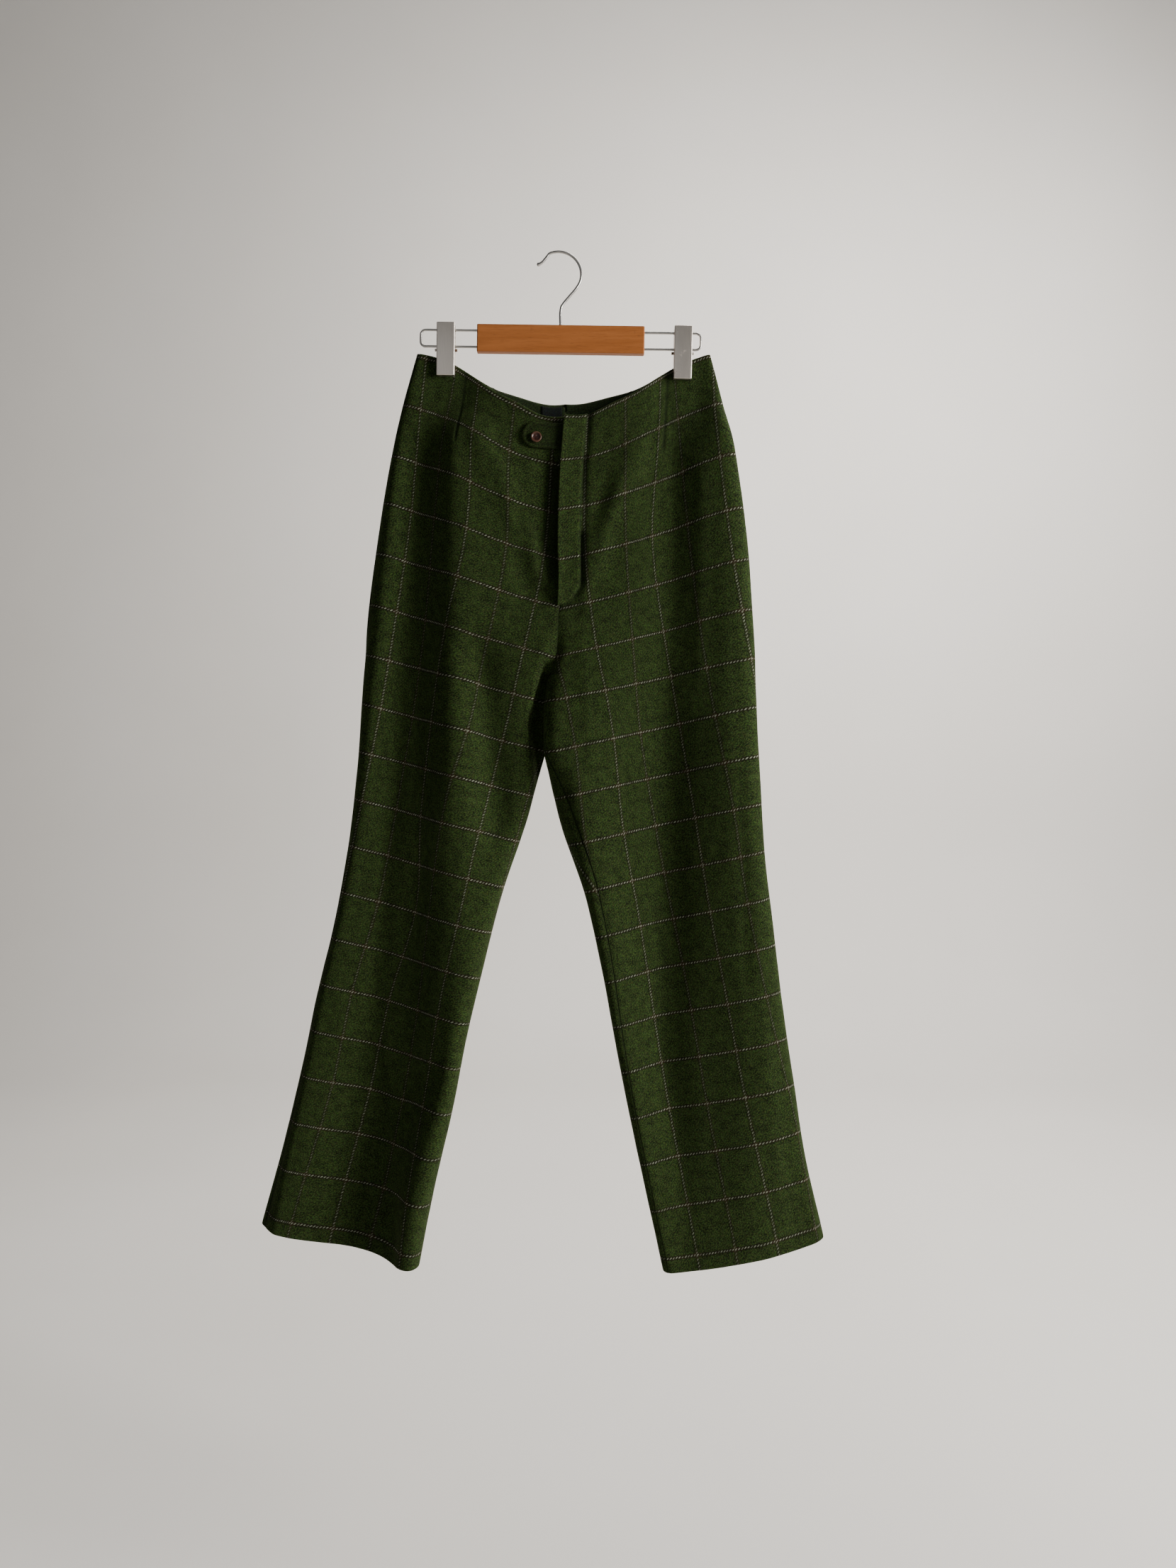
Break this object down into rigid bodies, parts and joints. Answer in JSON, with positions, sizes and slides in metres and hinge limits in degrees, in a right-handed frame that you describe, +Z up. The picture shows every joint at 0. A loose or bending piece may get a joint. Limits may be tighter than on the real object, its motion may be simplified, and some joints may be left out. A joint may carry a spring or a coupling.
{
  "type": "cigarette pants on a trouser clip hanger",
  "caption": "Cropped woollen cigarette pants with a button tab and fly, hanging open-waisted from a wooden and wire clip hanger.",
  "frame": {"origin": "the inside top of the hanger's hook, where a rail carries it", "axes": "+X to the wearer's left, +Y to the wearer's back, +Z up; the front faces -Y"},
  "size_m": [0.6501, 0.0616, 1.1768],
  "materials": {
    "wool": "dark green wool twill with a light windowpane check",
    "facing": "dark facing cloth",
    "patch": "dark grey woven patch, bare",
    "button": "red-brown, rimmed and dished",
    "wood": "varnished orange-brown wood",
    "wire": "bright plated wire",
    "steel": "brushed, a little worn",
    "rust": "dull, rusted"
  },
  "bodies": {
    "root": {"front_right": "wool", "front_left": "wool", "back_right": "wool", "back_left": "wool", "fly_placket": "wool", "waist_tab": "wool", "tab_button": "button", "back_waist_facing": "facing", "inside_patch": "patch", "hanger_bar": "wood", "hanger_hook": "wire", "hanger_wire_right": "wire", "hanger_wire_left": "wire", "clip_right_front": "steel", "clip_right_back": "steel", "clip_right_slider": "steel", "clip_right_pin": "rust", "clip_left_front": "steel", "clip_left_back": "steel", "clip_left_slider": "steel", "clip_left_pin": "rust"}
  },
  "joints": []
}
